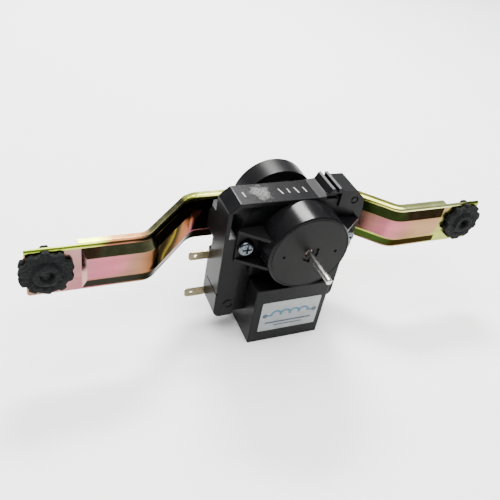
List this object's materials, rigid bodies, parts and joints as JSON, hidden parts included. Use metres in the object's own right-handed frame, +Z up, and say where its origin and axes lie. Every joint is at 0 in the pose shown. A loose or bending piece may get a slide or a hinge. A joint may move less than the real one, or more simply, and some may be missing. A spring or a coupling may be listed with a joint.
{
  "type": "freezer fan motor",
  "caption": "Shaded-pole freezer fan motor in moulded housings on a folded strap bracket with a rubber grommet at each end.",
  "frame": {"origin": "on the shaft axis at the front housing's face, where the shaft leaves its hub recess", "axes": "the shaft points along -Y, +X runs along the bracket to the right as seen from the shaft end, +Z is up, away from the coil"},
  "size_m": [0.2452, 0.076, 0.0831],
  "materials": {
    "bright_steel": "ground bright steel",
    "lamination_steel": "steam-blued silicon steel",
    "cage_aluminium": "pressure-cast aluminium",
    "brass": "turned brass",
    "nylon": "natural moulded nylon",
    "painted_core": "black dip paint over stamped laminations",
    "copper": "enamelled copper wire",
    "black_moulding": "moulded black glass-filled nylon",
    "black_housing": "satin black moulding",
    "label_film": "silver-white polyester label with a plain blue pattern",
    "tinned_brass": "tin-plated brass tab",
    "sintered_bronze": "oil-filled sintered bronze",
    "felt": "oiled wool felt",
    "yellow_zinc": "zinc plate with iridescent yellow chromate",
    "grommet_rubber": "matte black moulded rubber",
    "bright_zinc": "bright zinc plated steel"
  },
  "bodies": {
    "motor": {"stator_core": "painted_core", "core_bar": "painted_core", "shading_ring_left": "copper", "shading_ring_right": "copper", "coil_bobbin": "nylon", "coil_winding": "copper", "coil_cover": "black_moulding", "coil_label": "label_film", "terminal_block": "black_moulding", "terminal_upper": "tinned_brass", "terminal_lower": "tinned_brass", "front_housing": "black_housing", "front_bearing": "sintered_bronze", "front_bearing_clip": "bright_steel", "front_oil_felt": "felt", "rear_housing": "black_moulding", "rear_bearing": "sintered_bronze", "rear_bearing_clip": "bright_steel", "rear_oil_felt": "felt", "rear_cap": "black_housing", "strap_frame": "black_moulding", "latch_frame": "black_moulding", "mounting_bracket": "yellow_zinc", "grommet_left": "grommet_rubber", "grommet_right": "grommet_rubber", "clamp_screw_left": "bright_zinc", "clamp_screw_right": "bright_zinc", "clamp_nut_left": "bright_zinc", "clamp_nut_right": "bright_zinc", "bracket_screw_left": "bright_zinc", "bracket_screw_right": "bright_zinc"},
    "rotor": {"shaft": "bright_steel", "rotor_core": "lamination_steel", "rotor_cage": "cage_aluminium", "rotor_spacer_front": "brass", "rotor_spacer_rear": "brass", "thrust_washer_front": "nylon", "thrust_washer_rear": "nylon"}
  },
  "joints": [
    {"name": "rotor_spin", "type": "hinge", "parent": "motor", "child": "rotor", "pos_m": [0, 0, 0], "axis": [0, -1, 0], "continuous": true}
  ]
}
